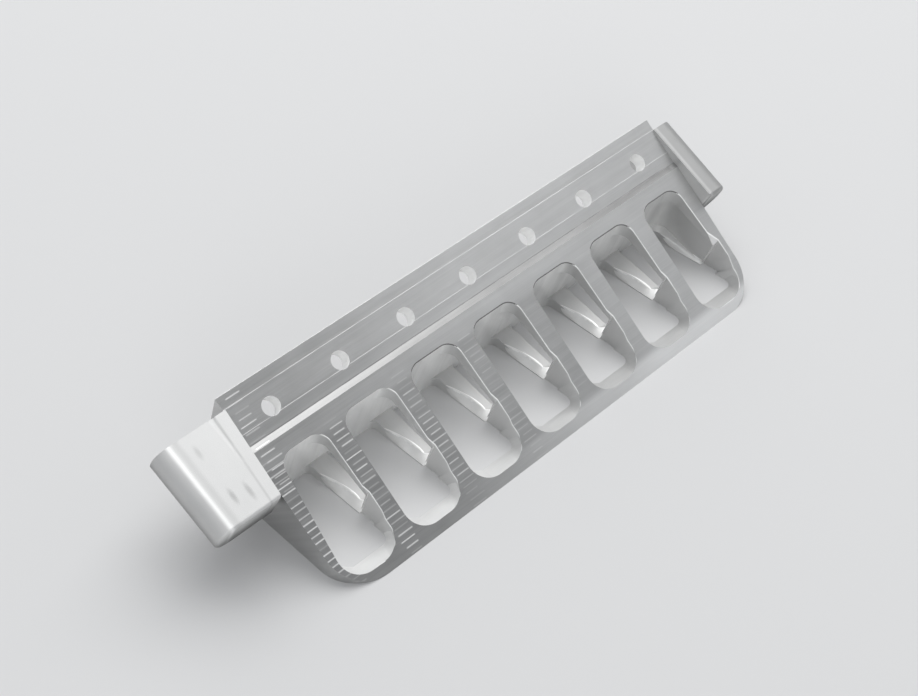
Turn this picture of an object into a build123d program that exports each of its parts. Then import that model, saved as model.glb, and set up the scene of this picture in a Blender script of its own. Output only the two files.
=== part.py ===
"""Machined bracket: a wedge-shaped comb plate with a drilled rail, seven bays and two end lugs."""

import os
from math import cos, radians, sin, tan

from build123d import *

# Millimetres. +X runs along the row of bays, +Y to the rear, +Z up; the bracket rests on z = 0.
# The bays and the holes share one pitch, and most sizes were read as fractions of it.
pitch = 12.0
bay_count = 7

# The sloping top face meets the ground in a knife edge. Its slope is the wedge angle, and every
# wall of a bay leans forwards by the lean angle, halfway between the two faces.
wedge_angle = 37.1
lean_angle = 18.5

# Distances up the sloping face from the knife edge.
bay_front = 1.65
bay_rear = 21.0
ramp_top = 23.25
ramp_foot = 24.15
hole_row = 27.15
lug_rear = 30.05
rail_rear = 31.95

# The rail is a little lower than the face in front of it and thicker than the skin over the bays.
rail_drop = 0.3
rail_thickness = 3.0
hole_radius = 1.38

# Bays: offsets from the bay's own hole, then the corner radii of the outline. The right side
# slants a little, and in the end bays the outer side slants more.
bay_left = -4.78
bay_right = 4.6
bay_right_rear = 4.08
end_front_inset = 0.2
end_rear_inset = 0.95
first_rear_inset = 1.45
bay_rear_radius = 2.3
bay_front_left_radius = 3.5
bay_front_right_radius = 3.3
bay_foot_radius = 1.2
bay_foot_left_radius = 0.3
bay_foot_height = 2.2
bay_foot_patch = 3.45
sill_foot = 4.05

# Outline of the whole plate.
outline_taper = 0.35
outline_front_radius = 6.6

# Rear wall behind the bays, and the full-height cheeks at both ends of it.
rear_wall = 2.1
cheek_width = 1.5
cheek_drop = 7.0

# The passage through the webs, as points of the section (y from the knife edge, z).
passage_front_low = 10.14
passage_floor_low = 0.4
passage_floor_turn = 11.7
passage_floor_high = 1.98
passage_floor_rear = 19.4
passage_rear_low = 2.18
passage_roof_front = (8.6, 5.45)
passage_roof_rear = 10.1
passage_end_front = 2.1
passage_end_rear = 0.9
passage_end_margin = 2.0
passage_corner_radius = 1.8

# Bevelled near side of each strut, wide at the front and closing to nothing at the rear.
bevel_rear = 18.2
bevel_near = 4.38
bevel_front_width = 3.5
bevel_rear_width = 0.05
bevel_end_width = 0.7
bevel_end_inset = 0.85
bevel_front_height = 0.3
bevel_rear_height = 2.0
bevel_margin = 1.0
edge_land = 0.15

# Shallow relief in the right wall of each bay, just in front of the passage.
relief_front = 7.4
relief_rear = 10.3
relief_depth = 0.12
relief_margin = 1.0

# Lugs: their tops rise away from the plate towards the front, and the left one also narrows.
lug_rise = 12.0
lug_length = 13.7
lug_thickness = 6.2
left_lug_reach = 11.3
left_lug_overlap = 0.25
left_lug_inner_taper = 1.15
left_lug_outer_taper = 0.3
right_lug_reach = 4.1
right_lug_overlap = 0.1
lug_outer_radius = 2.3
lug_low_radius = 3.2
lug_end_radius = 0.5
groove_radius = 1.6
groove_depth = 0.14
groove_offset = 2.3
groove_length = 11.645
groove_fade = 0.8

# Worked out from the sizes above.
wedge = radians(wedge_angle)
lean = tan(radians(lean_angle))
skew = tan(radians(wedge_angle - lean_angle))
down = (0, sin(radians(lean_angle)), -cos(radians(lean_angle)))
body_length = bay_count * pitch
half = body_length / 2
over = 5.0


def on_face(up, above=0.0):
    """Section point at a distance up the sloping face and a height square to it."""
    return (up * cos(wedge) - above * sin(wedge), up * sin(wedge) + above * cos(wedge))


def leaning(point, height):
    """The section point at a given height on the bay-wall line through another."""
    return (point[0] + (point[1] - height) * lean, height)


rail_top_rear = on_face(rail_rear, -rail_drop)
rail_under_rear = on_face(rail_rear - (rail_thickness - rail_drop) * skew, -rail_thickness)
wall_rear_up = bay_rear + rear_wall / cos(radians(wedge_angle - lean_angle))
wall_under_rail = on_face(wall_rear_up - rail_thickness * skew, -rail_thickness)
wall_foot = leaning(wall_under_rail, 0)
cheek_low = leaning(rail_top_rear, rail_top_rear[1] - cheek_drop)
bay_rear_edge = on_face(bay_rear)
sill_edge = on_face(bay_front)

left_lug_outer = -half - left_lug_reach
left_lug_inner = -half + left_lug_overlap
right_lug_inner = half - right_lug_overlap
right_lug_outer = half + right_lug_reach

# The frame's origin is under the middle of the bounding box.
middle_x = (left_lug_outer + right_lug_outer) / 2
middle_y = cheek_low[0] / 2


def section(x):
    """Plane square to the length, with y and z as its own axes."""
    return Plane(origin=(x - middle_x, -middle_y, 0), x_dir=(0, 1, 0), z_dir=(1, 0, 0))


def upright(y):
    """Plane across the bracket, with x and z as its own axes."""
    return Plane(origin=(-middle_x, y - middle_y, 0), x_dir=(1, 0, 0), z_dir=(0, -1, 0))


face = Plane(
    origin=(-middle_x, -middle_y, 0), x_dir=(1, 0, 0), z_dir=(0, -sin(wedge), cos(wedge))
)
face_above = Plane(
    origin=(-middle_x, -middle_y - over * down[1], -over * down[2]),
    x_dir=(1, 0, 0),
    z_dir=(0, -sin(wedge), cos(wedge)),
)
hole_positions = [(i - (bay_count - 1) / 2) * pitch for i in range(bay_count)]

lug_slope = radians(wedge_angle - lug_rise)


def across_lug(forward):
    """Plane square to a lug's top, at a distance forward from its rear end."""
    rear = on_face(lug_rear)
    forwards = (0, -cos(lug_slope), -sin(lug_slope))
    origin = (
        -middle_x,
        rear[0] - middle_y + forward * forwards[1],
        rear[1] + forward * forwards[2],
    )
    return Plane(origin=origin, x_dir=(1, 0, 0), z_dir=forwards)


def lug_section(profile, outer, inner):
    """Section of a lug in an open sketch, with both outer edges rounded."""
    with Locations(((outer + inner) / 2, 0)):
        Rectangle(abs(outer - inner), lug_thickness, align=(Align.CENTER, Align.MAX))
    outer_side = 0 if outer < inner else -1
    corners = profile.vertices().group_by(Axis.X)[outer_side].sort_by(Axis.Y)
    fillet(corners[-1], radius=lug_outer_radius)
    corners = profile.vertices().group_by(Axis.X)[outer_side].sort_by(Axis.Y)
    fillet(corners[0], radius=lug_low_radius)


left_lug_sections = (
    (0, left_lug_outer, left_lug_inner),
    (lug_length, left_lug_outer + left_lug_outer_taper, left_lug_inner - left_lug_inner_taper),
)

with BuildPart() as left_lug:
    for forward, outer, inner in left_lug_sections:
        with BuildSketch(across_lug(forward)) as profile:
            lug_section(profile, outer, inner)
    loft(ruled=True)
    fillet(left_lug.faces().sort_by(Axis.Y)[0].edges(), radius=lug_end_radius)
    # A soft groove beside the raised rim fades out before the front.
    with BuildSketch(across_lug(0)):
        with Locations((left_lug_inner - groove_offset, groove_radius - groove_depth)):
            Circle(groove_radius)
    fade = lug_slope - radians(groove_fade)
    extrude(amount=groove_length, dir=(0, -cos(fade), -sin(fade)), mode=Mode.SUBTRACT)

with BuildPart() as right_lug:
    with BuildSketch(across_lug(0)) as profile:
        lug_section(profile, right_lug_outer, right_lug_inner)
    extrude(amount=lug_length)
    fillet(right_lug.faces().sort_by(Axis.Y)[0].edges(), radius=lug_end_radius)

with BuildPart() as passage:
    with BuildSketch(section(-half + passage_end_rear / 2)):
        with BuildLine():
            Polyline(
                (passage_front_low, passage_floor_low),
                (passage_floor_turn, passage_floor_low),
                (passage_floor_rear, passage_floor_high),
                leaning(bay_rear_edge, passage_rear_low),
                leaning(bay_rear_edge, passage_roof_rear),
                passage_roof_front,
                close=True,
            )
        make_face()
    extrude(amount=body_length - passage_end_rear)
    # Its blind ends slant inwards to the front.
    end_rear = passage_floor_rear + passage_end_margin
    end_front = passage_front_low - passage_end_margin
    with BuildSketch(Plane(origin=(-middle_x, -middle_y, -over))):
        for side in (-1, 1):
            with BuildLine():
                Polyline(
                    (side * (half - passage_end_rear), end_rear),
                    (side * (half - passage_end_front), end_front),
                    (side * (half + over), end_front),
                    (side * (half + over), end_rear),
                    close=True,
                )
            make_face()
    extrude(amount=5 * over, mode=Mode.SUBTRACT)
    # The upright rear corners at the two ends are rounded.
    corners = passage.edges().filter_by(lambda edge: edge.length > over)
    corners = corners.filter_by(lambda edge: abs(edge.center().X + middle_x) > half - over)
    corners = corners.filter_by(lambda edge: edge.center().Y + middle_y > bay_rear_edge[0])
    fillet(corners, radius=passage_corner_radius)

with BuildPart() as bracket:
    # Solid wedge with the stepped rail on top and the rear wall under it.
    with BuildSketch(section(-half)):
        with BuildLine():
            Polyline(
                (0, 0),
                on_face(ramp_top),
                on_face(ramp_foot, -rail_drop),
                rail_top_rear,
                rail_under_rear,
                wall_under_rail,
                wall_foot,
                close=True,
            )
        make_face()
    extrude(amount=body_length)

    # Cheeks close the space under the rail at both ends.
    for x in (-half, half - cheek_width):
        with BuildSketch(section(x)):
            with BuildLine():
                Polyline(
                    (wall_foot[0] - rear_wall, 0),
                    (wall_under_rail[0] - rear_wall, wall_under_rail[1]),
                    on_face(ramp_foot, -rail_drop),
                    rail_top_rear,
                    cheek_low,
                    wall_foot,
                    close=True,
                )
            make_face()
        extrude(amount=cheek_width)

    # The bays are cut along the lean, from above the sloping face to below the ground.
    for number, middle in enumerate(hole_positions):
        first = number == 0
        last = number == bay_count - 1
        left_rear = middle + bay_left + (first_rear_inset if first else 0)
        right_front = middle + bay_right - (end_front_inset if last else 0)
        right_rear = middle + bay_right_rear - (end_rear_inset if last else 0)
        with BuildSketch(face_above) as bay:
            with BuildLine():
                Polyline(
                    (middle + bay_left, bay_front),
                    (right_front, bay_front),
                    (right_rear, bay_rear),
                    (left_rear, bay_rear),
                    close=True,
                )
            make_face()
            front = bay.vertices().group_by(Axis.Y)[0].sort_by(Axis.X)
            fillet(front[0], radius=bay_front_left_radius)
            front = bay.vertices().group_by(Axis.Y)[0].sort_by(Axis.X)
            fillet(front[-1], radius=bay_front_right_radius)
            fillet(bay.vertices().group_by(Axis.Y)[-1], radius=bay_rear_radius)
        extrude(amount=4 * over, dir=down, mode=Mode.SUBTRACT)

        # Near the ground the rear corners are tighter, except in the end walls.
        foot_rear = bay_rear_edge[0] + (bay_rear_edge[1] - bay_foot_height) * lean
        corners = []
        if not first:
            corners.append((middle + bay_left, Align.MIN, bay_foot_left_radius))
        if not last:
            corners.append((right_rear, Align.MAX, bay_foot_radius))
        for side, align, radius in corners:
            with BuildSketch(Plane(origin=(-middle_x, -middle_y, bay_foot_height))) as foot:
                with Locations((side, foot_rear)):
                    Rectangle(bay_foot_patch, bay_foot_patch, align=(align, Align.MAX))
                rear = foot.vertices().group_by(Axis.Y)[-1].sort_by(Axis.X)
                fillet(rear[0] if align is Align.MIN else rear[-1], radius=radius)
            extrude(amount=over, dir=down, mode=Mode.SUBTRACT)

    # The passage runs under the skin through every web and ends inside the two end walls.
    add(passage.part, mode=Mode.SUBTRACT)

    # The near side of each strut is bevelled towards the front.
    for number, middle in enumerate(hole_positions):
        last = number == bay_count - 1
        near = middle + bay_right_rear - (bevel_end_inset if last else 0)
        far = near + bevel_rear_width
        with BuildSketch(upright(bevel_rear)):
            with BuildLine():
                Polyline(
                    (near - bevel_margin, edge_land),
                    (near, edge_land),
                    (far, bevel_rear_height),
                    (far, bevel_rear_height + bevel_margin),
                    (near - bevel_margin, bevel_rear_height + bevel_margin),
                    close=True,
                )
            make_face()
        near = middle + bevel_near - (2 * end_front_inset if last else 0)
        far = near + (bevel_end_width if last else bevel_front_width)
        with BuildSketch(upright(passage_front_low)):
            with BuildLine():
                Polyline(
                    (near - bevel_margin, edge_land),
                    (near, edge_land),
                    (far, bevel_front_height),
                    (far, bevel_front_height + bevel_margin),
                    (near - bevel_margin, bevel_front_height + bevel_margin),
                    close=True,
                )
            make_face()
        loft(ruled=True, mode=Mode.SUBTRACT)

    # A shallow relief in front of the passage leaves a small nick in the bay's right edge.
    for middle in hole_positions:
        with BuildSketch(section(middle + bay_right - relief_margin)):
            with BuildLine():
                Polyline(
                    leaning((relief_rear, 0), -over),
                    leaning((relief_front, 0), -over),
                    leaning((relief_front, 0), 2 * over),
                    leaning((relief_rear, 0), 2 * over),
                    close=True,
                )
            make_face()
        extrude(amount=relief_margin + relief_depth, mode=Mode.SUBTRACT)

    # The front sill slopes gently to the ground inside the bays.
    with BuildSketch(section(-half)):
        with BuildLine():
            Polyline((0, 0), sill_edge, (sill_foot, 0), close=True)
        make_face()
    extrude(amount=body_length)

    # The outline's front corners are rounded along the lean.
    with BuildSketch(face_above) as outline:
        with BuildLine():
            Polyline(
                (-half + outline_taper, 0),
                (half - outline_taper, 0),
                (half, lug_rear),
                (half, rail_rear + 4 * over),
                (-half, rail_rear + 4 * over),
                (-half, lug_rear),
                close=True,
            )
        make_face()
        fillet(outline.vertices().group_by(Axis.Y)[0], radius=outline_front_radius)
    extrude(amount=12 * over, dir=down, mode=Mode.INTERSECT)

    # Screw holes, square to the rail.
    with BuildSketch(face):
        with Locations([(middle, hole_row) for middle in hole_positions]):
            Circle(hole_radius)
    extrude(amount=over, both=True, mode=Mode.SUBTRACT)

    add(left_lug.part)
    add(right_lug.part)

os.makedirs("parts", exist_ok=True)
bracket.part.label = "bracket"
export_step(bracket.part, "parts/bracket.step")
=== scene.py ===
from math import cos, radians, sin, sqrt, tan

import bmesh
import bpy
from mathutils import Matrix, Vector


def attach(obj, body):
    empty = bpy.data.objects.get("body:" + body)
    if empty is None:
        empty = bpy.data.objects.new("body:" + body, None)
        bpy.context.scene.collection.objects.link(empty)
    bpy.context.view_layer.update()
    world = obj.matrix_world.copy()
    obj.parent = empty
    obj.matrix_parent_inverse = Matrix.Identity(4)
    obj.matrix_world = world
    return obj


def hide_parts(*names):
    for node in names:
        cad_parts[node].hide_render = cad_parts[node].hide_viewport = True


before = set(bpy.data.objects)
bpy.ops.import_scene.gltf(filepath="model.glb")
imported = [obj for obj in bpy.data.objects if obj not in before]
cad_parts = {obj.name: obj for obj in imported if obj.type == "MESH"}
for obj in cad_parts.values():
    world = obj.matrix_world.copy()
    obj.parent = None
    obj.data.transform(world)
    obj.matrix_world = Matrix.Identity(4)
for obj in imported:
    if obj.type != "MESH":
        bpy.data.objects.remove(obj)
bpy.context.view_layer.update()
perMetre = 1000  # millimetres

# The plate is a wedge whose sloping face starts in a knife edge on the table. Marks on that face are
# placed in millimetres: x along the bays from the middle hole, and up the slope from the knife edge.
plate = {
    "slope": radians(37.1),
    "middleX": -3.6,  # the middle of the whole object, seen from the middle hole, in mm
    "edgeY": -14.003,  # the knife edge in the object's own frame, in mm
    "halfLength": 42.0,
    "pitch": 12.0,
    "bays": 7,
    "holeRow": 27.15,  # the holes' centres, up the slope
    "barStart": 4.4,  # a bar between two bays, from the hole before it
}
plateNormal = Vector((0, -sin(plate["slope"]), cos(plate["slope"])))
endLeft = -plate["halfLength"] - plate["middleX"]  # the plate's ends in the object's own frame, in mm
endRight = plate["halfLength"] - plate["middleX"]

lug = {
    "slope": radians(25.1),
    "rearUp": 30.05,  # rear end of a lug's top, up the plate's slope in mm
    "leftInner": -38.15,  # in the object's own frame, in mm
    "rightInner": 45.5,
}


def onSlope(up):
    return Vector((0, plate["edgeY"] + up * cos(plate["slope"]), up * sin(plate["slope"])))


def holeAt(bay):
    return (bay - (plate["bays"] - 1) / 2) * plate["pitch"]


# Small helpers for node trees
def put(tree, kind, **values):
    node = tree.nodes.new("ShaderNode" + kind)
    for name, value in values.items():
        setattr(node, name, value)
    return node


def feed(tree, socket, value):
    if isinstance(value, bpy.types.NodeSocket):
        tree.links.new(value, socket)
    elif value is not None:
        socket.default_value = value


def calc(tree, operation, first, second=None, clamp=False):
    node = put(tree, "Math", operation=operation, use_clamp=clamp)
    feed(tree, node.inputs[0], first)
    feed(tree, node.inputs[1], second)
    return node.outputs[0]


def remap(tree, value, low, high, newLow=0.0, newHigh=1.0):
    node = put(tree, "MapRange", interpolation_type="SMOOTHSTEP")
    for socket, entry in zip(node.inputs, (value, low, high, newLow, newHigh)):
        feed(tree, socket, entry)
    return node.outputs[0]


def addShare(tree, value, pattern, share):
    return calc(tree, "ADD", value, calc(tree, "MULTIPLY", pattern, share))


def vary(tree, value, pattern, amount):
    # The pattern runs from 0 to 1 and takes the value up and down by half the amount
    return addShare(tree, value, calc(tree, "SUBTRACT", pattern, 0.5), amount)


def combine(tree, x, y, z=0.0):
    node = put(tree, "CombineXYZ")
    for socket, value in zip(node.inputs, (x, y, z)):
        feed(tree, socket, value)
    return node.outputs[0]


def noise(tree, vector, scale=1.0, detail=2.0, rough=0.5):
    node = put(tree, "TexNoise")
    feed(tree, node.inputs["Vector"], vector)
    node.inputs["Scale"].default_value = scale
    node.inputs["Detail"].default_value = detail
    node.inputs["Roughness"].default_value = rough
    return node.outputs["Fac"]


def mixColour(tree, factor, first, second):
    node = put(tree, "Mix", data_type="RGBA", blend_type="MIX", clamp_factor=True)
    feed(tree, node.inputs[0], factor)
    feed(tree, node.inputs[6], first)
    feed(tree, node.inputs[7], second)
    return node.outputs[2]


metalBlue = 0.99  # the blue of a grey metal, as a share of its red and green


def grey(value):
    return (value, value, value * metalBlue, 1.0)


def combineGrey(tree, value):
    node = put(tree, "CombineColor")
    feed(tree, node.inputs[0], value)
    feed(tree, node.inputs[1], value)
    feed(tree, node.inputs[2], calc(tree, "MULTIPLY", value, metalBlue))
    return node.outputs[0]


def newGroup(name, inputs, outputs):
    # All sockets are plain numbers, and the inputs come with their values
    group = bpy.data.node_groups.new(name, "ShaderNodeTree")
    for socketName, value in inputs.items():
        socket = group.interface.new_socket(socketName, in_out="INPUT", socket_type="NodeSocketFloat")
        socket.default_value = value
    for socketName in outputs:
        group.interface.new_socket(socketName, in_out="OUTPUT", socket_type="NodeSocketFloat")
    start = group.nodes.new("NodeGroupInput")
    end = group.nodes.new("NodeGroupOutput")
    return group, start.outputs, end.inputs


def useGroup(tree, group, **values):
    node = tree.nodes.new("ShaderNodeGroup")
    node.node_tree = group
    for name, value in values.items():
        feed(tree, node.inputs[name], value)
    return node.outputs


print("Building the shared effects")
marks = {
    # Cutter's streaks: scale, detail and roughness of the noise
    "bands": (0.35, 3, 0.6),
    "hairs": (1.0, 4, 0.7),
    "hairsFiner": 4.0,  # hair lines lie this much closer than the bands
    "hairsShorter": 2.5,
    "hairSlice": 7.0,  # another slice of the noise than the bands'
    # Chatter dashes, in mm where nothing else is said
    "rowNoise": (0.6, 1),
    "unevenRows": 0.4,  # how far a row strays, in rows
    "dashSides": (1.2, 0.3),  # a dash fades in between these shares of its width
    "lateStart": 0.7,
    "earlyEnd": 0.6,
    "fadeIn": 0.35,
    "fadeOut": 0.25,
    "fullFrom": 0.9,  # dashes past this chance are at full strength
    "faintest": 0.25,
    # Scribed lines
    "lineCore": 0.2,  # share of a line's width that is fully marked
    "lineBreaks": 0.25,  # scale of the noise along it
    "lineFaint": (0.3, 0.55, 0.4, 1.0),  # noise from and to, strength from and to
    # Grain
    "grain": (1.0, 3, 0.65),
    "clouds": 0.22,
    "pits": 0.35,
    "pitSize": (0.22, 0.05),  # distance from a pit's middle where it starts and where it is full
}


def slopePlaces(slope, origin):
    # Object coordinates in mm, turned so that Up is up a slope and Height is square to it
    group, _, wanted = newGroup("slopePlaces", {}, ("X", "Up", "Height"))
    places = put(group, "TexCoord")
    turn = put(group, "Mapping", vector_type="POINT")
    turn.inputs["Scale"].default_value = (perMetre, perMetre, perMetre)
    turn.inputs["Rotation"].default_value = (-slope, 0, 0)
    moved = Matrix.Rotation(-slope, 3, "X") @ origin
    turn.inputs["Location"].default_value = (plate["middleX"], -moved.y, -moved.z)
    group.links.new(places.outputs["Object"], turn.inputs["Vector"])
    split = put(group, "SeparateXYZ")
    group.links.new(turn.outputs[0], split.inputs[0])
    for source, target in zip(split.outputs, ("X", "Up", "Height")):
        group.links.new(source, wanted[target])
    return group


def makeStreaks():
    # Long fine marks that a cutter leaves along X, from broad bands down to hair lines
    group, given, wanted = newGroup(
        "cutterStreaks", {"X": 0.0, "Across": 0.0, "Stretch": 0.03, "Density": 3.0}, ("Bands", "Hairs"))
    along = calc(group, "MULTIPLY", given["X"], given["Stretch"])
    across = calc(group, "MULTIPLY", given["Across"], given["Density"])
    group.links.new(noise(group, combine(group, along, across), *marks["bands"]), wanted["Bands"])
    shorter = calc(group, "MULTIPLY", along, marks["hairsShorter"])
    finer = calc(group, "MULTIPLY", across, marks["hairsFiner"])
    hairs = noise(group, combine(group, shorter, finer, marks["hairSlice"]), *marks["hairs"])
    group.links.new(hairs, wanted["Hairs"])
    return group


def makeTicks():
    # Short light chatter dashes, one for each turn of the cutter, between two places along X
    group, given, wanted = newGroup(
        "chatterTicks",
        {"X": 0.0, "Up": 0.0, "Start": 0.0, "End": 1.0, "Spacing": 0.95, "Width": 0.12, "Seed": 0.0},
        ("Mask",),
    )
    uneven = noise(group, combine(group, given["Seed"], given["Up"]), *marks["rowNoise"])
    row = calc(group, "DIVIDE", given["Up"], given["Spacing"])
    row = addShare(group, row, uneven, marks["unevenRows"])
    number = calc(group, "FLOOR", row)
    chance = put(group, "TexWhiteNoise", noise_dimensions="2D")
    group.links.new(combine(group, number, given["Seed"]), chance.inputs["Vector"])
    pick = put(group, "SeparateColor")
    group.links.new(chance.outputs["Color"], pick.inputs[0])

    apart = calc(group, "ABSOLUTE", calc(group, "SUBTRACT", calc(group, "FRACT", row), 0.5))
    apart = calc(group, "MULTIPLY", apart, given["Spacing"])
    side, core = (calc(group, "MULTIPLY", given["Width"], share) for share in marks["dashSides"])
    line = remap(group, apart, side, core)

    begins = addShare(group, given["Start"], pick.outputs[0], marks["lateStart"])
    early = calc(group, "MULTIPLY", pick.outputs[1], marks["earlyEnd"])
    ends = calc(group, "SUBTRACT", given["End"], early)
    inside = calc(group, "MULTIPLY",
                  remap(group, given["X"], begins, calc(group, "ADD", begins, marks["fadeIn"])),
                  remap(group, given["X"], ends, calc(group, "SUBTRACT", ends, marks["fadeOut"])))
    force = remap(group, pick.outputs[2], 0.0, marks["fullFrom"], marks["faintest"], 1.0)
    mask = calc(group, "MULTIPLY", calc(group, "MULTIPLY", line, inside), force)
    group.links.new(mask, wanted["Mask"])
    return group


def makeLine():
    # One straight scribed line across the slope, soft at its sides and broken a little along X
    group, given, wanted = newGroup(
        "scribedLine", {"X": 0.0, "Up": 0.0, "At": 0.0, "Width": 0.1}, ("Mask",))
    apart = calc(group, "ABSOLUTE", calc(group, "SUBTRACT", given["Up"], given["At"]))
    core = calc(group, "MULTIPLY", given["Width"], marks["lineCore"])
    line = remap(group, apart, given["Width"], core)
    along = calc(group, "MULTIPLY", given["X"], marks["lineBreaks"])
    whole = remap(group, noise(group, combine(group, along, given["At"])), *marks["lineFaint"])
    group.links.new(calc(group, "MULTIPLY", line, whole), wanted["Mask"])
    return group


def makeGrain():
    # Fine even grain with a few larger pits, for blasted and as-cut metal
    group, given, wanted = newGroup("metalGrain", {"Scale": 8.0}, ("Grain", "Cloud", "Pits"))
    places = put(group, "TexCoord")
    larger = put(group, "VectorMath", operation="SCALE")
    group.links.new(places.outputs["Object"], larger.inputs[0])
    larger.inputs["Scale"].default_value = perMetre
    sized = put(group, "VectorMath", operation="SCALE")
    group.links.new(larger.outputs[0], sized.inputs[0])
    group.links.new(given["Scale"], sized.inputs["Scale"])
    group.links.new(noise(group, sized.outputs[0], *marks["grain"]), wanted["Grain"])
    group.links.new(noise(group, larger.outputs[0], marks["clouds"]), wanted["Cloud"])
    cells = put(group, "TexVoronoi")
    group.links.new(sized.outputs[0], cells.inputs["Vector"])
    cells.inputs["Scale"].default_value = marks["pits"]
    group.links.new(remap(group, cells.outputs["Distance"], *marks["pitSize"]), wanted["Pits"])
    return group


platePlaces = slopePlaces(plate["slope"], onSlope(0))
lugPlaces = slopePlaces(lug["slope"], onSlope(lug["rearUp"]))
streakGroup = makeStreaks()
tickGroup = makeTicks()
lineGroup = makeLine()
grainGroup = makeGrain()


def finishMetal(tree, colour, roughness, metallic, heights):
    # Each of the heights is a pattern with its bump's strength and its depth in metres
    shader = put(tree, "BsdfPrincipled")
    shader.inputs["Metallic"].default_value = metallic
    feed(tree, shader.inputs["Base Color"], colour)
    feed(tree, shader.inputs["Roughness"], roughness)
    normal = None
    for height, strength, distance in heights:
        bump = put(tree, "Bump")
        bump.inputs["Strength"].default_value = strength
        bump.inputs["Distance"].default_value = distance
        feed(tree, bump.inputs["Height"], height)
        feed(tree, bump.inputs["Normal"], normal)
        normal = bump.outputs[0]
    feed(tree, shader.inputs["Normal"], normal)
    output = put(tree, "OutputMaterial")
    tree.links.new(shader.outputs[0], output.inputs["Surface"])


def newMetal(name):
    material = bpy.data.materials.new(name)
    material.use_nodes = True
    material.node_tree.nodes.clear()
    return material, material.node_tree


# In the finishes, a Span is x from the middle hole and an Up is up the slope, both in mm: a change
# starts at its first number and is full at its second
milled = {
    "dark": 0.42,  # the face's tone at the left end
    "light": 0.62,  # and from the middle to the right
    "toneSpan": (-40.0, 5.0),
    "bands": 0.16,  # how much the cutter's bands, the clouds and the hair lines change the tone
    "clouds": 0.08,
    "hairs": 0.14,
    "bars": 0.78,  # share of the tone that is left on the bars between the bays, at the left
    "barsSpan": (26.0, 6.0),
    "barsUp": (22.0, 19.0),
    "rampLeft": 0.42,
    "rampRight": 0.24,
    "rampSpan": (-36.0, 8.0),
    "rampFar": -0.05,  # what is added to the ramp's tone further right
    "rampFarSpan": (14.0, 30.0),
    "rampEnd": 0.24,  # and beside the right lug, as painted light
    "rampEndSpan": (40.3, 41.3),
    "rampFootUp": (23.2, 23.3),
    "rampTopUp": (24.2, 24.1),
    "strip": 0.30,  # the strip before the bays is this much lighter at the right, as a painted highlight
    "stripSpan": (-26.0, 22.0),
    "stripUp": (3.4, 1.8),
    "rough": 0.34,
    "hairRough": 0.14,
    "lineRough": 0.12,
}
scratches = {
    "tone": 0.80,
    "before": 1.0,  # where the count along a bar starts, before the bar
    "barStart": 0.85,  # the dashes on a bar, in that count
    "barEnd": 4.0,
    "leftBarEnd": 6.4,  # the left bar widens to the rear
    "leftBarSpan": (-36.0, -37.0),
    "barUp": (21.8, 20.3),
    "barSpan": (10.0, -34.0),  # dashes get stronger to the left
    "barForce": 0.85,
    "barLeast": 0.07,
    "seedFrom": 4.0,  # each bar from here on has its own dashes
    "end": {"Start": -41.6, "End": -38.3, "Spacing": 1.1, "Seed": 31.0},  # beside the left lug
    "endUp": (15.5, 18.0),
    "endForce": 0.85,
    "lines": ((30.08, 0.10), (25.99, 0.09)),  # up the slope, width
    "lineForce": 0.75,
}
# Dirt smudges on the ramp, and a dark line of painted shade in the crease at its foot
grimeAndCreaseShade = {
    "tone": 0.16,
    "line": {"At": 24.2, "Width": 0.13},  # painted shade: a dark line in the crease at the foot of the rail's step
    "lineForce": 0.5,
    "hairs": (0.55, 0.75),  # smudges show where both noises are high
    "clouds": (0.5, 0.62),
    "lowUp": (22.9, 23.5),
    "highUp": (24.35, 24.1),
    "span": (0.0, 16.0),
    "endSpan": (41.0, 37.0),
}


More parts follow.
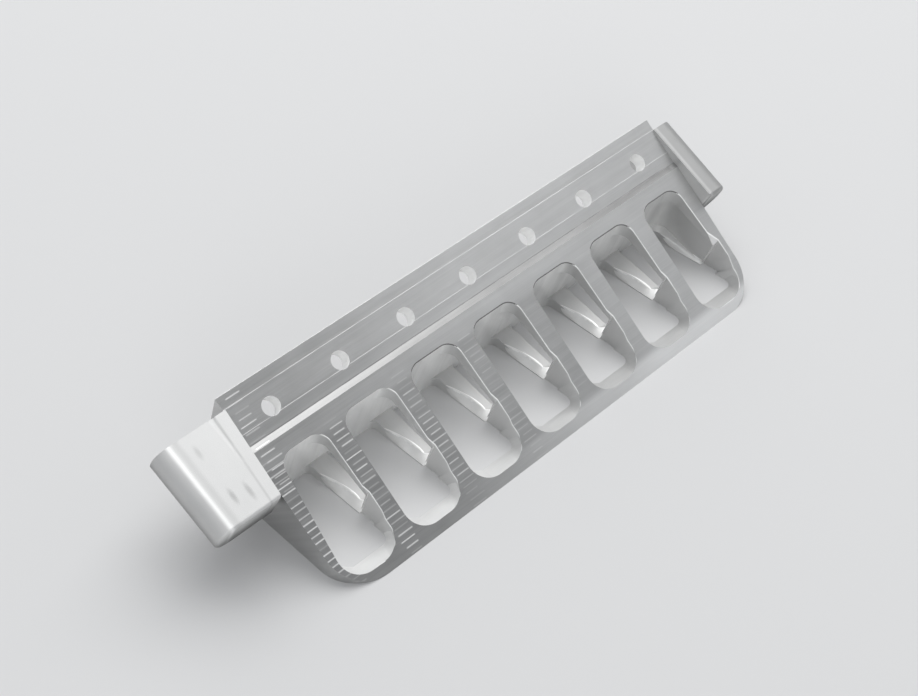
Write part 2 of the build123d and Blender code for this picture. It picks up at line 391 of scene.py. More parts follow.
def makeMilledFace():
    material, tree = newMetal("milledFace")
    place = useGroup(tree, platePlaces)
    x, up = place["X"], place["Up"]
    streak = useGroup(tree, streakGroup, X=x, Across=up, Stretch=0.05, Density=2.2)
    grain = useGroup(tree, grainGroup, Scale=7.0)

    # Painted light and shade: the face is darker towards the left end and lighter to the right. The bars
    # between the bays are darker still towards the left
    body = remap(tree, x, *milled["toneSpan"], milled["dark"], milled["light"])
    amongBays = calc(tree, "MULTIPLY", remap(tree, up, *milled["barsUp"]),
                     remap(tree, x, *milled["barsSpan"]))
    body = calc(tree, "MULTIPLY", body, remap(tree, amongBays, 0.0, 1.0, 1.0, milled["bars"]))
    # The step down to the rail carries a painted highlight, strongest at the left and fading to the right,
    # and beside the right lug it is lightened again as painted light over a shaded spot
    onRamp = calc(tree, "MULTIPLY", remap(tree, up, *milled["rampFootUp"]),
                  remap(tree, up, *milled["rampTopUp"]))
    ramp = remap(tree, x, *milled["rampSpan"], milled["rampLeft"], milled["rampRight"])
    for part in ("rampFar", "rampEnd"):
        ramp = calc(tree, "ADD", ramp, remap(tree, x, *milled[part + "Span"], 0.0, milled[part]))
    body = calc(tree, "ADD", calc(tree, "MULTIPLY", body, calc(tree, "SUBTRACT", 1.0, onRamp)),
                calc(tree, "MULTIPLY", ramp, onRamp))
    body = vary(tree, body, streak["Bands"], milled["bands"])
    body = vary(tree, body, grain["Cloud"], milled["clouds"])
    body = vary(tree, body, streak["Hairs"], milled["hairs"])
    # Painted highlight: the strip before the bays is lighter to the right
    strip = calc(tree, "MULTIPLY", remap(tree, up, *milled["stripUp"]),
                 remap(tree, x, *milled["stripSpan"]))
    body = addShare(tree, body, strip, milled["strip"])

    lines = scratchMask(tree, x, up)
    # Smudges of dirt, and painted shade along the crease at the ramp's foot
    smudgesAndShade = grimeAndCreaseShadeMask(tree, x, up, streak["Hairs"], grain["Cloud"])
    colour = mixColour(tree, lines, combineGrey(tree, body), grey(scratches["tone"]))
    colour = mixColour(tree, smudgesAndShade, colour, grey(grimeAndCreaseShade["tone"]))
    rough = addShare(tree, milled["rough"], streak["Hairs"], milled["hairRough"])
    rough = addShare(tree, rough, lines, milled["lineRough"])
    finishMetal(tree, colour, rough, 1.0, (
        (streak["Hairs"], 0.10, 0.00004),
        (streak["Bands"], 0.12, 0.00012),
        (lines, 0.35, 0.00003),
        (grain["Grain"], 0.12, 0.00003),
    ))
    return material


def scratchMask(tree, x, up):
    # Dashes across the bars between the bays and beside the left lug, and two scribed lines
    barX = calc(tree, "SUBTRACT", x, plate["barStart"] - scratches["before"])
    seedX = calc(tree, "SUBTRACT", x, scratches["seedFrom"])
    reach = remap(tree, x, *scratches["leftBarSpan"], scratches["barEnd"], scratches["leftBarEnd"])
    bars = useGroup(tree, tickGroup, Up=up, Start=scratches["barStart"], End=reach,
                    X=calc(tree, "FLOORED_MODULO", barX, plate["pitch"]),
                    Seed=calc(tree, "FLOOR", calc(tree, "DIVIDE", seedX, plate["pitch"])))
    onBars = calc(tree, "MULTIPLY", bars["Mask"], remap(tree, up, *scratches["barUp"]))
    leftness = calc(tree, "MULTIPLY", remap(tree, x, *scratches["barSpan"]), scratches["barForce"])
    onBars = calc(tree, "MULTIPLY", onBars, calc(tree, "ADD", leftness, scratches["barLeast"]))
    ends = useGroup(tree, tickGroup, X=x, Up=up, **scratches["end"])
    onEnd = calc(tree, "MULTIPLY", ends["Mask"], remap(tree, up, *scratches["endUp"]))
    onEnd = calc(tree, "MULTIPLY", onEnd, scratches["endForce"])
    lines = calc(tree, "MAXIMUM", onBars, onEnd, clamp=True)
    for at, width in scratches["lines"]:
        line = useGroup(tree, lineGroup, X=x, Up=up, At=at, Width=width)
        lines = calc(tree, "MAXIMUM", lines, calc(tree, "MULTIPLY", line["Mask"], scratches["lineForce"]))
    return lines


def grimeAndCreaseShadeMask(tree, x, up, hairs, clouds):
    # Painted shade as a dark line in the crease where the ramp meets the rail, and dirt smudges on the ramp
    # to the right
    line = useGroup(tree, lineGroup, X=x, Up=up, **grimeAndCreaseShade["line"])["Mask"]
    smudge = calc(tree, "MULTIPLY", remap(tree, hairs, *grimeAndCreaseShade["hairs"]),
                  remap(tree, clouds, *grimeAndCreaseShade["clouds"]))
    onRamp = calc(tree, "MULTIPLY", remap(tree, up, *grimeAndCreaseShade["lowUp"]), remap(tree, up, *grimeAndCreaseShade["highUp"]))
    smudge = calc(tree, "MULTIPLY", calc(tree, "MULTIPLY", smudge, onRamp), remap(tree, x, *grimeAndCreaseShade["span"]))
    mask = calc(tree, "ADD", calc(tree, "MULTIPLY", line, grimeAndCreaseShade["lineForce"]), smudge, clamp=True)
    return calc(tree, "MULTIPLY", mask, remap(tree, x, *grimeAndCreaseShade["endSpan"]))


# Freshly cut finishes inside the bays: tone, how metallic, roughness, and how the cutter's marks run.
# "right" is the tone at the right, "last" is added to it in the last bay as painted light on its shaded
# strut, and
# "side" is the share that is left where a wall faces left, as painted shade
cutFinishes = {
    "bayWall": {"body": 0.97, "right": 0.86, "side": 0.70, "metallic": 0.45, "rough": 0.26,
                "along": "Height", "across": "X", "stretch": 0.12, "density": 1.5, "bands": 0.42},
    "brightSill": {"body": 0.80, "right": 0.58, "metallic": 0.30, "rough": 0.42,
                   "along": "X", "across": "Up", "stretch": 0.20, "density": 2.0, "bands": 0.20},
    "strutFloor": {"body": 0.56, "last": 0.34, "metallic": 0.60, "rough": 0.38,
                   "along": "Up", "across": "X", "stretch": 0.15, "density": 1.2, "bands": 0.12},
    "strutBevel": {"body": 0.80, "last": 0.16, "metallic": 0.45, "rough": 0.30,
                   "along": "Up", "across": "X", "stretch": 0.15, "density": 1.2, "bands": 0.10},
    "holeWall": {"body": 0.98, "metallic": 0.25, "rough": 0.30,
                 "along": "X", "across": "Height", "stretch": 0.30, "density": 2.5, "bands": 0.10},
    # The broken edges and the struts' ridges are real bevels and rounds; their light tone is a painted
    # highlight
    "highlightedEdge": {"body": 0.92, "metallic": 0.90, "rough": 0.36,
                   "along": "X", "across": "Up", "stretch": 0.20, "density": 2.0, "bands": 0.10},
    "darkenedEdge": {"body": 0.16, "metallic": 0.50, "rough": 0.50,
                 "along": "X", "across": "Up", "stretch": 0.20, "density": 2.0, "bands": 0.10},
}
cutting = {
    "toneSpan": (-22.0, 8.0),
    "lastSpan": (37.4, 38.4),
    "sideFacing": (-0.12, -0.8),  # the x of the surface's direction
    "clouds": 0.10,
    "cloudRough": 0.14,
}


def makeCut(name):
    finish = cutFinishes[name]
    material, tree = newMetal(name)
    place = useGroup(tree, platePlaces)
    grain = useGroup(tree, grainGroup, Scale=5.0)
    streak = useGroup(tree, streakGroup, X=place[finish["along"]], Across=place[finish["across"]],
                      Stretch=finish["stretch"], Density=finish["density"])
    right = finish.get("right", finish["body"])
    body = remap(tree, place["X"], *cutting["toneSpan"], finish["body"], right)
    # Painted light: the strut in the last bay is lighter, against the shade it lies in
    if "last" in finish:
        inLast = remap(tree, place["X"], *cutting["lastSpan"], 0.0, finish["last"])
        body = calc(tree, "ADD", body, inLast)
    body = vary(tree, body, streak["Bands"], finish["bands"])
    body = vary(tree, body, grain["Cloud"], cutting["clouds"])
    # Painted shade: walls that face left are darker
    if "side" in finish:
        facing = put(tree, "SeparateXYZ")
        tree.links.new(put(tree, "TexCoord").outputs["Normal"], facing.inputs[0])
        share = remap(tree, facing.outputs[0], *cutting["sideFacing"], 1.0, finish["side"])
        body = calc(tree, "MULTIPLY", body, share)
    rough = addShare(tree, finish["rough"], grain["Cloud"], cutting["cloudRough"])
    finishMetal(tree, combineGrey(tree, body), rough, finish["metallic"], (
        (streak["Bands"], 0.20, 0.00010),
        (streak["Hairs"], 0.08, 0.00004),
        (grain["Grain"], 0.10, 0.00003),
    ))
    return material


sideFinish = {
    "tone": 0.56,
    "bands": 0.18,
    "rough": 0.33,
    "hairRough": 0.15,
}


def makeSideMilled():
    material, tree = newMetal("milledSide")
    places = put(tree, "TexCoord")
    split = put(tree, "SeparateXYZ")
    tree.links.new(places.outputs["Object"], split.inputs[0])
    x = calc(tree, "MULTIPLY", split.outputs[0], perMetre)
    across = calc(tree, "MULTIPLY", calc(tree, "ADD", split.outputs[1], split.outputs[2]), perMetre)
    streak = useGroup(tree, streakGroup, X=x, Across=across, Stretch=0.05, Density=2.0)
    grain = useGroup(tree, grainGroup, Scale=7.0)
    body = vary(tree, sideFinish["tone"], streak["Bands"], sideFinish["bands"])
    rough = addShare(tree, sideFinish["rough"], streak["Hairs"], sideFinish["hairRough"])
    finishMetal(tree, combineGrey(tree, body), rough, 1.0, (
        (streak["Hairs"], 0.15, 0.00005),
        (grain["Grain"], 0.12, 0.00003),
    ))
    return material


lugFinish = {
    # the lugs' tones: the right one is darker, as painted shade
    "left": 0.66,
    "right": 0.40,
    "toneSpan": (-10.0, 10.0),
    "rough": 0.50,
    "cloudRough": 0.08,
    "metallic": 0.70,
    "clouds": 0.08,
    "low": 0.36,  # share of the tone that is left near the underside, as painted shade
    "shadeBelowHeight": (-5.2, -0.5),  # square to the lug's top, in mm
    # lines along the lugs' tops: x at the rear end, slant forward, half width, change of tone. The lighter
    # lines are painted highlights along the rounded ridges; the darker ones darken the left lug's top in
    # two narrow bands
    "lines": ((-51.05, 0.012, 0.60, 0.24), (-50.0, 0.012, 0.8, -0.07), (-43.6, -0.066, 0.30, -0.10),
              (42.35, 0.0, 0.45, 0.12)),
    # scuffs on the left lug's top: x from the middle hole, forward from its rear end, length, strength
    "scuffs": ((-48.25, 2.8, 1.8, 0.28), (-48.1, 10.0, 2.0, 0.5), (-45.9, 10.6, 2.3, 0.45)),
    "scuffTone": 0.30,
    "scuffNarrow": 1.6,
    "scuffUneven": 0.9,
    "scuffFade": (0.85, 0.1),
    "topHeight": (-0.5, -0.2),  # scuffs stay on the top, so they fade in between these heights
}


def makeBlastedLug():
    material, tree = newMetal("blastedLug")
    place = useGroup(tree, lugPlaces)
    grain = useGroup(tree, grainGroup, Scale=9.0)
    forward = calc(tree, "MULTIPLY", place["Up"], -1.0)
    scuffs = None
    for x, at, length, strength in lugFinish["scuffs"]:
        sideways = calc(tree, "ABSOLUTE", calc(tree, "SUBTRACT", place["X"], x))
        sideways = calc(tree, "MULTIPLY", sideways, lugFinish["scuffNarrow"])
        along = calc(tree, "DIVIDE", calc(tree, "ABSOLUTE", calc(tree, "SUBTRACT", forward, at)), length)
        far = calc(tree, "SQRT", calc(tree, "ADD", calc(tree, "MULTIPLY", along, along),
                                      calc(tree, "MULTIPLY", sideways, sideways)))
        far = vary(tree, far, grain["Grain"], lugFinish["scuffUneven"])
        mark = calc(tree, "MULTIPLY", remap(tree, far, *lugFinish["scuffFade"]), strength)
        scuffs = mark if scuffs is None else calc(tree, "MAXIMUM", scuffs, mark)
    scuffs = calc(tree, "MULTIPLY", scuffs, remap(tree, place["Height"], *lugFinish["topHeight"]))
    # Painted shade: the right lug is darker than the left one
    body = remap(tree, place["X"], *lugFinish["toneSpan"], lugFinish["left"], lugFinish["right"])
    body = vary(tree, body, grain["Cloud"], lugFinish["clouds"])
    # Painted highlights along the lugs' ridges, and two darker bands on the left lug
    for start, slant, width, change in lugFinish["lines"]:
        line = calc(tree, "ADD", calc(tree, "MULTIPLY", forward, slant), start)
        apart = calc(tree, "ABSOLUTE", calc(tree, "SUBTRACT", place["X"], line))
        body = addShare(tree, body, remap(tree, apart, width, 0.0), change)
    # Painted shade: the lug is darker towards its underside
    low = remap(tree, place["Height"], *lugFinish["shadeBelowHeight"], lugFinish["low"], 1.0)
    body = calc(tree, "MULTIPLY", body, low)
    colour = mixColour(tree, scuffs, combineGrey(tree, body), grey(lugFinish["scuffTone"]))
    rough = addShare(tree, lugFinish["rough"], grain["Cloud"], lugFinish["cloudRough"])
    finishMetal(tree, colour, rough, lugFinish["metallic"], (
        (grain["Grain"], 0.30, 0.00005),
        (grain["Pits"], -0.15, 0.00004),
    ))
    return material


print("Dressing the bracket")
edgeBreak = {
    "width": 0.00011,  # on the right arris of each bay and on the darkened rear outlines, in metres
    "plain": 0.7,  # share of that width where the face meets no bay wall and no outer side
    "outline": 0.35,  # and on the plate's own outline
    "segments": 2,
    "lowest": 0.0006,  # the knife edge and the feet below this stay as they are
    "sharp": radians(38),
    "flat": radians(0.6),
    "merge": 0.000001,
    "along": 0.99,  # share of an edge's length that runs along X
    "longEdge": 0.003,  # a straight edge along X at least this long stays sharp past the crease angle
    "crease": radians(4),
    "thin": 0.0003,  # a face narrower than this keeps its edges
    "endFacing": 0.3,  # an end wall faces further along X than this, and keeps its edges
    "rightFacing": -0.6,  # the wall under a right arris faces left, further than this
    "rightFrom": 0.5,  # the right arrises start this far from the plate's left end, in mm
    "rearFacing": -0.65,  # and the one under a rear outline faces the front
    "darkenedFrom": -18.0,  # x of the first bay whose rear outline is darkened, from the middle hole in mm
    "darkenedFacing": -0.68,
    "darkenedUp": (15.0, 22.5),  # where that outline lies, up the slope in mm
}
# The relief in each bay's right wall, in the object's own frame and in mm
nick = {
    "rear": (-5.78, 6.22),  # y and z of its two ends on the sloping face
    "front": (-8.10, 4.47),
    "near": 0.03,  # a corner lies this near to its place
    "roof": 5.45,  # of the passage beside it
    "runOut": 1.3,  # the length over which the cutter leaves the wall
    "lastRunOut": 2.1,
    # in metres
    "level": 0.00003,  # the relief's inner corner is this level with the outer one
    "deep": (0.0001, 0.001),  # and this far to its right
    "lastFrom": 0.040,  # x from which it is the last bay's
}


def onlyThis(thing):
    bpy.ops.object.select_all(action="DESELECT")
    thing.select_set(True)
    bpy.context.view_layer.objects.active = thing


def dressBracket():
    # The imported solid's triangles are merged into whole faces, and its sharp edges are broken
    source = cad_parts["bracket"]
    bracket = bpy.data.objects.new("machinedBracket", source.data.copy())
    bpy.context.collection.objects.link(bracket)
    onlyThis(bracket)
    if bracket.data.has_custom_normals:
        bpy.ops.mesh.customdata_custom_splitnormals_clear()
    bpy.ops.object.mode_set(mode="EDIT")
    bpy.ops.mesh.select_all(action="SELECT")
    bpy.ops.mesh.remove_doubles(threshold=edgeBreak["merge"])
    bpy.ops.mesh.dissolve_limited(angle_limit=edgeBreak["flat"])
    bpy.ops.object.mode_set(mode="OBJECT")
    softenNicks(bracket.data)
    bracket.data.materials.clear()
    for name in slots:
        bracket.data.materials.append(finishes[name])
    for face in bracket.data.polygons:
        face.material_index = slots.index(finishOf(face))
    bpy.ops.object.shade_smooth_by_angle(angle=edgeBreak["sharp"])
    markEdges(bracket.data)
    breakEdges(bracket)
    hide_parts("bracket")
    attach(bracket, "root")


def isAt(vertex, place):
    away = (vertex.co.y * perMetre - place[0], vertex.co.z * perMetre - place[1])
    return abs(away[0]) < nick["near"] and abs(away[1]) < nick["near"]


def isInner(corner, other):
    # Whether this is the relief's inner corner, level with the outer one and to its right
    shallow, deep = nick["deep"]
    level = abs(other.co.y - corner.co.y) < nick["level"]
    return level and shallow < other.co.x - corner.co.x < deep


def softenNicks(data):
    # The steps at both ends of each relief become slants, as a cutter leaves them
    mesh = bmesh.new()
    mesh.from_mesh(data)
    corners = [vertex for vertex in mesh.verts if isAt(vertex, nick["rear"]) or isAt(vertex, nick["front"])]
    for corner in corners:
        atRear = isAt(corner, nick["rear"])
        across = [edge.other_vert(corner) for edge in corner.link_edges]
        inner = next((other for other in across if isInner(corner, other)), None)
        if inner is None:
            continue
        onward = max(across, key=lambda other: other.co.y * (1 if atRear else -1))
        if atRear:
            splitWalls(corner, inner)
        reach = nick["lastRunOut" if corner.co.x > nick["lastFrom"] else "runOut"]
        corner.co += (onward.co - corner.co).normalized() * reach / perMetre
    mesh.normal_update()
    mesh.to_mesh(data)
    mesh.free()


def splitWalls(corner, inner):
    # The relief's rear edge gets a point level with the passage's roof, from which the slant starts
    down = min(corner.link_edges, key=lambda edge: edge.other_vert(corner).co.z)
    foot = down.other_vert(corner)
    share = (corner.co.z * perMetre - nick["roof"]) / ((corner.co.z - foot.co.z) * perMetre)
    point = bmesh.utils.edge_split(down, corner, share)[1]
    for face in list(point.link_faces):
        if inner in face.verts:
            bmesh.utils.face_split(face, point, inner)
        else:
            around = list(face.verts)
            start = around.index(foot)
            beside = [around[start - 1], around[(start + 1) % len(around)]]
            roofEnd = next(vertex for vertex in beside if vertex is not point)
            bmesh.utils.face_split(face, point, roofEnd)


def markEdges(mesh):
    # Which edges stay crisp, and how wide each outward one is broken
    facesAt = {}
    for face in mesh.polygons:
        for key in face.edge_keys:
            facesAt.setdefault(key, []).append(face)
    weights = mesh.attributes.new("bevel_weight_edge", "FLOAT", "EDGE")
    lugSlot = slots.index("blastedLug")
    ridge = {slots.index("strutFloor"), slots.index("strutBevel")}
    for edge in mesh.edges:
        faces = facesAt.get(edge.key, [])
        if len(faces) != 2:
            continue
        ends = [mesh.vertices[number].co for number in edge.vertices]
        span = ends[1] - ends[0]
        turn = faces[0].normal.angle(faces[1].normal, 0.0)
        pair = {face.material_index for face in faces}
        along = edgeBreak["along"]
        straight = abs(span.x) > along * span.length > along * edgeBreak["longEdge"]
        if pair == ridge or straight and turn > edgeBreak["crease"] and lugSlot not in pair:
            edge.use_edge_sharp = True
        if turn > edgeBreak["sharp"] and isBroken(faces, ends, span.length):
            weights.data[edge.index].value = breakOf(faces, (ends[0] + ends[1]) / 2)


def isBroken(faces, ends, length):
    # An outward edge of the milled face or sides, neither too low nor beside a sliver or an end wall
    pair = {face.material_index for face in faces}
    lugSlot, holeSlot, faceSlot, sideSlot = (
        slots.index(name) for name in ("blastedLug", "holeWall", "milledFace", "milledSide"))
    if pair & {lugSlot, holeSlot} or not pair & {faceSlot, sideSlot}:
        return False
    middle = (ends[0] + ends[1]) / 2
    outward = (faces[1].center - middle).dot(faces[0].normal) < 0
    high = min(end.z for end in ends) > edgeBreak["lowest"]
    whole = min(face.area for face in faces) > edgeBreak["thin"] * length
    endWall = any(face.material_index == sideSlot and abs(face.normal.x) > edgeBreak["endFacing"]
                  for face in faces)
    return outward and high and whole and not endWall


def breakOf(faces, middle):
    # The share of the full width: all of it on each bay's right arris and, further right, on its rear
    # outline, and none on a bay's other edges
    pair = {face.material_index for face in faces}
    faceSlot, sideSlot, wallSlot = (slots.index(name) for name in ("milledFace", "milledSide", "bayWall"))
    rightSide = faceSlot in pair and min(face.normal.x for face in faces) < edgeBreak["rightFacing"]
    if rightSide and middle.x > (endLeft + edgeBreak["rightFrom"]) / perMetre:
        return 1.0
    if wallSlot in pair:
        rearSide = min(face.normal.y for face in faces) < edgeBreak["rearFacing"]
        return 1.0 if rearSide and middle.x * perMetre + plate["middleX"] > edgeBreak["darkenedFrom"] else 0.0
    return edgeBreak["outline" if sideSlot in pair else "plain"]


def breakEdges(thing):
    onlyThis(thing)
    edgeSlot = slots.index("highlightedEdge")
    bevel = thing.modifiers.new("brokenEdges", "BEVEL")
    bevel.limit_method = "WEIGHT"
    bevel.width = edgeBreak["width"]
    bevel.segments = edgeBreak["segments"]
    bevel.use_clamp_overlap = False
    # The bevels take the light edge finish, a painted highlight
    bevel.material = edgeSlot
    bpy.ops.object.modifier_apply(modifier=bevel.name)
    for face in thing.data.polygons:
        if face.material_index == edgeSlot and isDarkened(face):
            face.material_index = slots.index("darkenedEdge")
    weighted = thing.modifiers.new("faceNormals", "WEIGHTED_NORMAL")
    weighted.keep_sharp = True
    weighted.weight = 100  # faces count by their area
    bpy.ops.object.modifier_apply(modifier=weighted.name)


def isDarkened(face):
    # The rear outlines of the bays further right look dark in the photo
    centre = face.center * perMetre
    up = (centre - onSlope(0)).dot(onSlope(1) - onSlope(0))
    low, high = edgeBreak["darkenedUp"]
    further = centre.x + plate["middleX"] > edgeBreak["darkenedFrom"]
    return further and low < up < high and face.normal.y < edgeBreak["darkenedFacing"]


strut = {
    "front": 10.1,  # distances from the knife edge, in mm
    "rear": 20.6,
    "top": 2.5,
    # The bevel's two ends: distance from the knife edge, near and far offset from the hole, far height
    "bevelFront": (10.14, 4.38, 7.88, 0.3),
    "bevelRear": (18.2, 4.08, 4.13, 2.0),
    "lastFront": (10.14, 3.98, 4.68, 0.3),  # the same in the last bay
    "lastRear": (18.2, 3.23, 3.28, 2.0),
    "nearHeight": 0.15,
    "floorFront": (11.7, 0.4),  # the floor's two ends: distance from the knife edge, height
    "floorRear": (19.4, 1.98),
    "ridgeFront": 10.8,
    "worn": 0.50,  # how far the rounded ridge reaches down each side, where it is widest
    "wornEnds": 0.2,  # share of that at both ends
    "wornSkew": 0.6,  # below 1 it is widest nearer the rear
    "proud": 0.025,  # its height over the sharp ridge
    "embed": 0.02,  # its sides end this deep in the strut
    "under": 0.25,  # where its foot runs inside the strut, down and sideways
    "inward": 0.05,
    "steps": 24,
}


def onStrut(centre):
    return strut["front"] < centre.y - plate["edgeY"] < strut["rear"] and centre.z < strut["top"]


# Where each finish lies and how its faces look. Places are in mm; a direction is the share of a face's
# normal that points there
zones = {
    "off": 0.01,  # what a face may be off its place
    "lugOver": 0.02,  # height over the sloping face from which it is a lug
    "faceTilt": radians(25),  # the ramp turns at most this much from the slope
    "faceDown": -0.6,  # the rail and the ramp lie at most this low under it
    "strutUp": 0.05,  # direction, up
    "bevelLeft": -0.02,  # direction, to the right
    "sillUp": 0.85,  # direction, up
    "holeDown": (-3.05, -0.3),  # height of the screw holes' walls under the slope
    "holeReach": 1.6,  # how far they lie from the row's middle
    "holeTilt": 0.1,  # direction, out of the slope
    "outward": 0.05,  # direction, away from the middle
    "front": 1.0,  # from the knife edge
    "endWall": 6.8,  # from the plate's ends
    "recess": 20.8,  # from the knife edge
}


def finishOf(face):
    # Which finish a face has, from where it lies and how it faces
    centre = face.center * perMetre
    height = (centre - onSlope(0)).dot(plateNormal)
    overLeft = height > zones["lugOver"] and centre.x < lug["leftInner"] + zones["off"]
    overRight = height > zones["lugOver"] and centre.x > lug["rightInner"] - zones["off"]
    beside = centre.x < endLeft - zones["off"] or centre.x > endRight + zones["off"]
    if beside or overLeft or overRight:
        return "blastedLug"
    tilt = face.normal.dot(plateNormal)
    if tilt > cos(zones["faceTilt"]) and height > zones["faceDown"]:
        return "milledFace"
    if onStrut(centre) and face.normal.z > zones["strutUp"]:
        return "strutBevel" if face.normal.x < zones["bevelLeft"] else "strutFloor"
    if face.normal.z > zones["sillUp"]:
        return "brightSill"
    back = centre.y - plate["edgeY"]
    up = centre.z * sin(plate["slope"]) + back * cos(plate["slope"])
    deepest, highest = zones["holeDown"]
    inHole = deepest < height < highest and abs(up - plate["holeRow"]) < zones["holeReach"]
    if inHole and abs(tilt) < zones["holeTilt"]:
        return "holeWall"
    fromMiddle = centre.x + plate["middleX"]
    outside = face.normal.x * fromMiddle > zones["outward"]
    outside = outside or back < zones["front"] and face.normal.y < -zones["outward"]
    outside = outside and abs(fromMiddle) > plate["halfLength"] - zones["endWall"]
    return "milledSide" if outside or back > zones["recess"] else "bayWall"


def ridgeSection(y, last):
    # Where the bevel's twisted face meets the strut's floor, at a distance from the knife edge, and the
    # direction in which the bevel falls from there
    front, rear = strut["lastFront" if last else "bevelFront"], strut["lastRear" if last else "bevelRear"]
    part = (rear[0] - y) / (rear[0] - front[0])
    near, far, high = (rear[number] + part * (front[number] - rear[number]) for number in (1, 2, 3))
    floorFront, floorRear = strut["floorFront"], strut["floorRear"]
    rise = (floorRear[1] - floorFront[1]) / (floorRear[0] - floorFront[0])
    floor = floorFront[1] + rise * max(0.0, y - floorFront[0])
    share = min((floor - strut["nearHeight"]) / (high - strut["nearHeight"]), 1.0)
    ridge = Vector((near + (far - near) * share, 0, floor))
    fall = (Vector((near, 0, strut["nearHeight"])) - ridge).normalized()
    return ridge, fall


def ridgeRing(hole, part, last):
    # Four points across a ridge: down the bevel, on the ridge, along the floor, and inside the strut
    y = strut["bevelRear"][0] + part * (strut["ridgeFront"] - strut["bevelRear"][0])
    ridge, fall = ridgeSection(y, last)
    swell = (1 - strut["wornEnds"]) * sin(part ** strut["wornSkew"] * radians(180))
    reach = strut["worn"] * (strut["wornEnds"] + swell)
    inward = Vector((-fall.z, 0, fall.x))
    outward = (Vector((0, 0, 1)) - inward).normalized()
    points = (fall * reach + inward * strut["embed"], outward * strut["proud"],
              Vector((reach, 0, -strut["embed"])), Vector((strut["inward"], 0, -strut["under"])))
    middle = ridge + Vector((hole - plate["middleX"], y + plate["edgeY"], 0))
    return [(middle + point) / perMetre for point in points]


def addPiece(name, mesh, finish):
    # A closed bmesh becomes a piece of the bracket
    bmesh.ops.recalc_face_normals(mesh, faces=mesh.faces)
    data = bpy.data.meshes.new(name)
    mesh.to_mesh(data)
    mesh.free()
    data.materials.append(finishes[finish])
    piece = bpy.data.objects.new(name, data)
    bpy.context.collection.objects.link(piece)
    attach(piece, "root")
    return piece


def addRidges():
    # The ridge where the two cuts on each strut meet is worn round, and its light tone is a painted
    # highlight
    mesh = bmesh.new()
    for bay in range(plate["bays"]):
        last = bay == plate["bays"] - 1
        rings = [[mesh.verts.new(point) for point in ridgeRing(holeAt(bay), step / strut["steps"], last)]
                 for step in range(strut["steps"] + 1)]
        for first, second in zip(rings, rings[1:]):
            for side in range(4):
                other = (side + 1) % 4
                around = (first[side], first[other], second[other], second[side])
                mesh.faces.new(around).smooth = side < 2
            for side in (0, 2):
                mesh.edges.get((first[side], second[side])).smooth = False
        for ring in (rings[0], rings[-1]):
            mesh.faces.new(ring)
    addPiece("strutRidges", mesh, "highlightedEdge")


# The front corners of each bay: the outline's round on the sloping face, and the foot line on the table,
# in mm from the bay's hole and from the knife edge
bayCorner = {
    "frontUp": 1.65,
    "sillFoot": 4.05,
    "right": {"side": 4.6, "slant": -0.0269, "radius": 3.3, "sideFoot": 5.85, "sillX": 2.8, "bulge": 1.0},
    "left": {"side": -4.78, "slant": 0.0, "radius": 3.5, "sideFoot": 7.0, "sillX": -2.02, "bulge": 0.2},
    "lastSide": 4.4,  # the last and the first bay slant with the plate's ends
    "lastSlant": -0.0656,
    "firstSlant": 0.0749,
    "lean": tan(radians(18.5)),
    "steps": 12,
    "embed": 0.03,  # how far a round reaches into the walls
    "below": 0.10,  # its top lies this far below the sloping face
    "smooth": radians(30),
}


def cornerRings(hole, side, slant, radius, sideFoot, sillX, bulge):
    # Three rings of points: on the face, on the table inside the bay, and on the table inside the wall
    outward = 1 if side > 0 else -1
    frontUp, sillFoot, embed = (bayCorner[name] for name in ("frontUp", "sillFoot", "embed"))
    upCentre = frontUp + radius
    centreX = side + slant * radius - outward * radius * sqrt(1 + slant * slant)
    wallX = side + slant * (sideFoot - frontUp) + outward * embed
    elbow = ((wallX + sillX) / 2 + outward * bulge * abs(wallX - sillX) / 2,
             (sideFoot + sillFoot) / 2 - bulge * (sideFoot - sillFoot) / 2)
    reach = radius + embed
    rings = ([], [], [])
    for step in range(bayCorner["steps"] + 1):
        part = step / bayCorner["steps"]
        turn = part * radians(90)
        x = centreX + outward * reach * cos(turn)
        up = upCentre - reach * sin(turn)
        y, z = up * cos(plate["slope"]), up * sin(plate["slope"])
        footX = (1 - part) ** 2 * wallX + 2 * part * (1 - part) * elbow[0] + part ** 2 * sillX
        footY = ((1 - part) ** 2 * sideFoot + 2 * part * (1 - part) * elbow[1]
                 + part ** 2 * (sillFoot - embed))
        points = ((x, y, z - bayCorner["below"]), (footX, footY, 0.0), (x, y + z * bayCorner["lean"], 0.0))
        for ring, point in zip(rings, points):
            place = Vector((point[0] + hole - plate["middleX"], point[1] + plate["edgeY"], point[2]))
            ring.append(place / perMetre)
    return rings


def addCorner(mesh, rings):
    layers = [[mesh.verts.new(point) for point in ring] for ring in rings]
    count = len(rings[0])
    for first, second in ((0, 1), (1, 2), (2, 0)):
        one, two = layers[first], layers[second]
        for step in range(count - 1):
            face = mesh.faces.new((one[step], one[step + 1], two[step + 1], two[step]))
            face.smooth = first == 0
    for end in (0, count - 1):
        mesh.faces.new([layer[end] for layer in layers])


def addBayCorners():
    # The cutter leaves a sloping round in both front corners of each bay
    mesh = bmesh.new()
    for bay in range(plate["bays"]):
        right, left = dict(bayCorner["right"]), dict(bayCorner["left"])
        if bay == 0:
            left["slant"] = bayCorner["firstSlant"]
        if bay == plate["bays"] - 1:
            right["side"], right["slant"] = bayCorner["lastSide"], bayCorner["lastSlant"]
        for values in (right, left):
            addCorner(mesh, cornerRings(holeAt(bay), **values))
    onlyThis(addPiece("bayCorners", mesh, "brightSill"))
    bpy.ops.object.shade_smooth_by_angle(angle=bayCorner["smooth"])


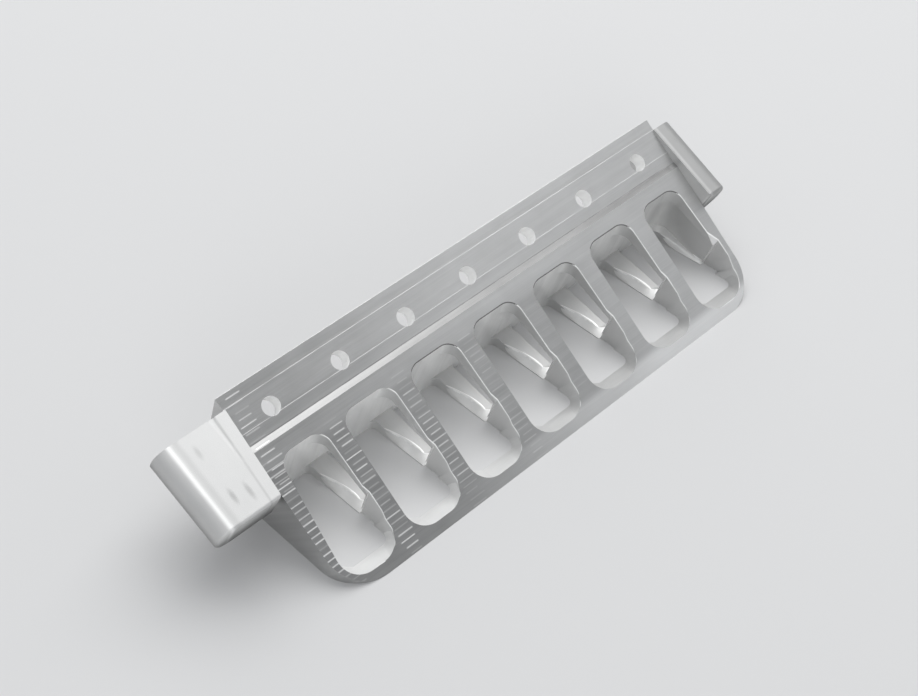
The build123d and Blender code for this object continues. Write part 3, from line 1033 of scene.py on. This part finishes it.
finishes = {name: makeCut(name) for name in cutFinishes}
finishes.update(milledFace=makeMilledFace(), milledSide=makeSideMilled(), blastedLug=makeBlastedLug())
slots = list(finishes)
dressBracket()
addBayCorners()
addRidges()

print("Setting up the studio")
studio = {
    "floor": 0.66,
    "floorHalf": 3.0,
    "floorRough": 0.9,
    "floorGloss": 0.1,
    "sky": 0.50,
    "skyColour": (0.95, 0.97, 1.0, 1),
    "camera": Vector((-0.11281, -0.11246, 0.17707)),  # where it stands, and its right and up
    "right": Vector((0.7238, -0.6900, 0.0)),
    "up": Vector((0.4999, 0.5244, 0.6893)),
    "lens": 63.79,
    "sensor": 36,
    "nearest": 0.01,
}
# Place, size and watts of each lamp
lamps = {
    "overhead": ((0.30, 0.22, 0.75), (1.1, 0.8), 6.0),
    "backRight": ((0.55, 0.75, 0.30), (0.9, 0.5), 1.5),
    "leftFill": ((-0.60, -0.85, 0.42), (0.5, 0.5), 1.6),
}


def makeFloor():
    bpy.ops.object.select_all(action="DESELECT")
    bpy.ops.mesh.primitive_plane_add(size=2 * studio["floorHalf"], location=(0, 0, 0))
    floor = bpy.context.active_object
    floor.name = "floor"
    material = bpy.data.materials.new("paleFloor")
    material.use_nodes = True
    shader = material.node_tree.nodes["Principled BSDF"]
    shader.inputs["Base Color"].default_value = (studio["floor"],) * 3 + (1,)
    shader.inputs["Roughness"].default_value = studio["floorRough"]
    shader.inputs["Specular IOR Level"].default_value = studio["floorGloss"]
    floor.data.materials.append(material)


def makeSky():
    world = bpy.data.worlds.new("softRoom")
    bpy.context.scene.world = world
    world.use_nodes = True
    background = world.node_tree.nodes["Background"]
    background.inputs["Color"].default_value = studio["skyColour"]
    background.inputs["Strength"].default_value = studio["sky"]


def softLight(name, place, size, watts):
    # A flat lamp that points at the bracket
    light = bpy.data.lights.new(name, "AREA")
    light.shape = "RECTANGLE"
    light.size, light.size_y = size
    light.energy = watts
    lamp = bpy.data.objects.new(name, light)
    bpy.context.collection.objects.link(lamp)
    lamp.location = place
    lamp.rotation_euler = (-Vector(place)).to_track_quat("-Z", "Y").to_euler()


def makeCamera():
    data = bpy.data.cameras.new("photoView")
    data.lens = studio["lens"]
    data.sensor_width = studio["sensor"]
    data.clip_start = studio["nearest"]
    camera = bpy.data.objects.new("photoView", data)
    bpy.context.collection.objects.link(camera)
    right, up = studio["right"].normalized(), studio["up"].normalized()
    back = right.cross(up)
    turn = Matrix((right, up, back)).transposed().to_4x4()
    camera.matrix_world = Matrix.Translation(studio["camera"]) @ turn
    bpy.context.scene.camera = camera


makeFloor()
makeSky()
for name, lamp in lamps.items():
    softLight(name, *lamp)
makeCamera()
bpy.context.scene.view_settings.view_transform = "Standard"
